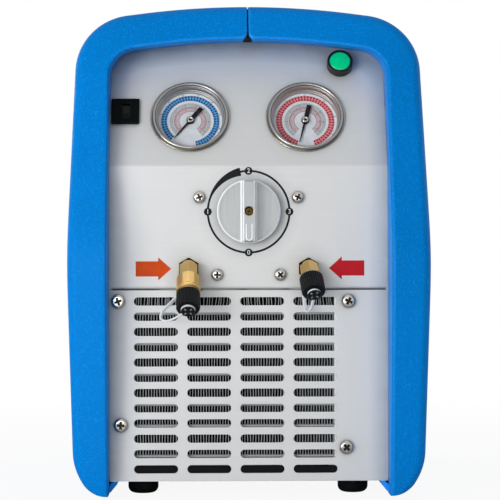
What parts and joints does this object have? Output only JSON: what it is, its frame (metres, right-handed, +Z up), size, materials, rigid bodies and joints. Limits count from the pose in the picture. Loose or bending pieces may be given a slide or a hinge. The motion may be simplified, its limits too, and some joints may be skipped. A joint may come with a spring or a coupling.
{
  "type": "refrigerant recovery machine",
  "caption": "Portable refrigerant recovery machine: moulded carrying case, tilted gauge panel, selector knob, capped flare ports and a slotted grille over the condenser.",
  "frame": {"origin": "on the floor under the middle of the overall box", "axes": "+Z up, +X to the right of someone facing the control panel, the control panel faces -Y"},
  "size_m": [0.2652, 0.3794, 0.369],
  "materials": {
    "shell_blue": "fine moulded grain",
    "panel_steel": "satin sheet",
    "screw_steel": "plated",
    "zinc_steel": "zinc plated sheet",
    "foot_rubber": "moulded rubber",
    "gauge_steel": "polished",
    "dial_white": "printed dial",
    "gauge_glass": "clear",
    "needle_black": "satin black",
    "copper": "drawn tube",
    "black_plastic": "moulded",
    "start_green": "translucent cap",
    "brass": "machined",
    "knob_grey": "satin silver",
    "tether_white": "soft moulded",
    "fin_aluminium": "folded fins",
    "motor_paint": "enamel",
    "shaft_steel": "ground",
    "cast_alloy": "cast",
    "can_aluminium": "drawn can"
  },
  "bodies": {
    "case": {"base_plate": "zinc_steel", "left_shell": "shell_blue", "right_shell": "shell_blue", "shell_screws": "screw_steel", "control_panel": "panel_steel", "grille_panel": "panel_steel", "grille_screws": "screw_steel", "rear_panel": "panel_steel", "rear_screws": "screw_steel", "front_left_foot": "foot_rubber", "front_right_foot": "foot_rubber", "rear_left_foot": "foot_rubber", "rear_right_foot": "foot_rubber", "foot_screws": "screw_steel", "low_gauge_case": "gauge_steel", "low_gauge_bezel": "gauge_steel", "low_gauge_dial": "dial_white", "low_gauge_lens": "gauge_glass", "high_gauge_case": "gauge_steel", "high_gauge_bezel": "gauge_steel", "high_gauge_dial": "dial_white", "high_gauge_lens": "gauge_glass", "low_gauge_line": "copper", "high_gauge_line": "copper", "start_collar": "black_plastic", "start_nut": "black_plastic", "breaker_frame": "black_plastic", "valve_body": "brass", "valve_screws": "screw_steel", "inlet_elbow": "brass", "inlet_filter": "brass", "inlet_tether": "tether_white", "outlet_elbow": "brass", "outlet_tether": "tether_white", "condenser_core": "fin_aluminium", "left_bracket": "zinc_steel", "right_bracket": "zinc_steel", "condenser_bends": "copper", "fan_shroud": "black_plastic", "motor": "motor_paint", "motor_cradle": "motor_paint", "crankcase": "cast_alloy", "left_cylinder": "cast_alloy", "right_cylinder": "cast_alloy", "capacitor": "can_aluminium", "power_inlet": "black_plastic", "discharge_pipe": "copper", "suction_pipe": "copper"},
    "selector": {"knob": "knob_grey", "knob_screw": "brass", "valve_stem": "brass"},
    "start_button": {"start_cap": "start_green"},
    "breaker_switch": {"breaker_rocker": "black_plastic"},
    "low_needle": {"low_gauge_needle": "needle_black"},
    "high_needle": {"high_gauge_needle": "needle_black"},
    "inlet_dust_cap": {"inlet_cap": "black_plastic"},
    "outlet_dust_cap": {"outlet_cap": "black_plastic"},
    "fan_rotor": {"fan": "black_plastic", "motor_shaft": "shaft_steel"}
  },
  "joints": [
    {"name": "selector_turn", "type": "hinge", "parent": "case", "child": "selector", "pos_m": [0, -0.1473, 0.21281], "axis": [0, 1, 0], "range_deg": [0, 270]},
    {"name": "start_press", "type": "slide", "parent": "case", "child": "start_button", "axis": [0, 0.9063, -0.4226], "range_m": [0, 0.003], "stiffness_N_per_m": 800},
    {"name": "breaker_rock", "type": "hinge", "parent": "case", "child": "breaker_switch", "pos_m": [-0.0916, -0.12676, 0.28774], "axis": [1, 0, 0], "range_deg": [0, 16]},
    {"name": "low_needle_turn", "type": "hinge", "parent": "case", "child": "low_needle", "pos_m": [-0.0434, -0.12976, 0.28462], "axis": [0, 0.9063, -0.4226], "range_deg": [0, 305], "stiffness_Nm_per_rad": 0.0003},
    {"name": "high_needle_turn", "type": "hinge", "parent": "case", "child": "high_needle", "pos_m": [0.0434, -0.12976, 0.28462], "axis": [0, 0.9063, -0.4226], "range_deg": [0, 324], "stiffness_Nm_per_rad": 0.0003},
    {"name": "inlet_cap_turn", "type": "hinge", "parent": "case", "child": "inlet_dust_cap", "pos_m": [-0.0445, -0.1548, 0.17061], "axis": [0, -0.7071, -0.7071], "range_deg": [0, 1440]},
    {"name": "outlet_cap_turn", "type": "hinge", "parent": "case", "child": "outlet_dust_cap", "pos_m": [0.0445, -0.1548, 0.17061], "axis": [0.0984, -0.7071, -0.7002], "range_deg": [0, 1440]},
    {"name": "fan_spin", "type": "hinge", "parent": "case", "child": "fan_rotor", "pos_m": [-0.01425, 0, 0.0888], "axis": [0, 1, 0], "continuous": true}
  ]
}
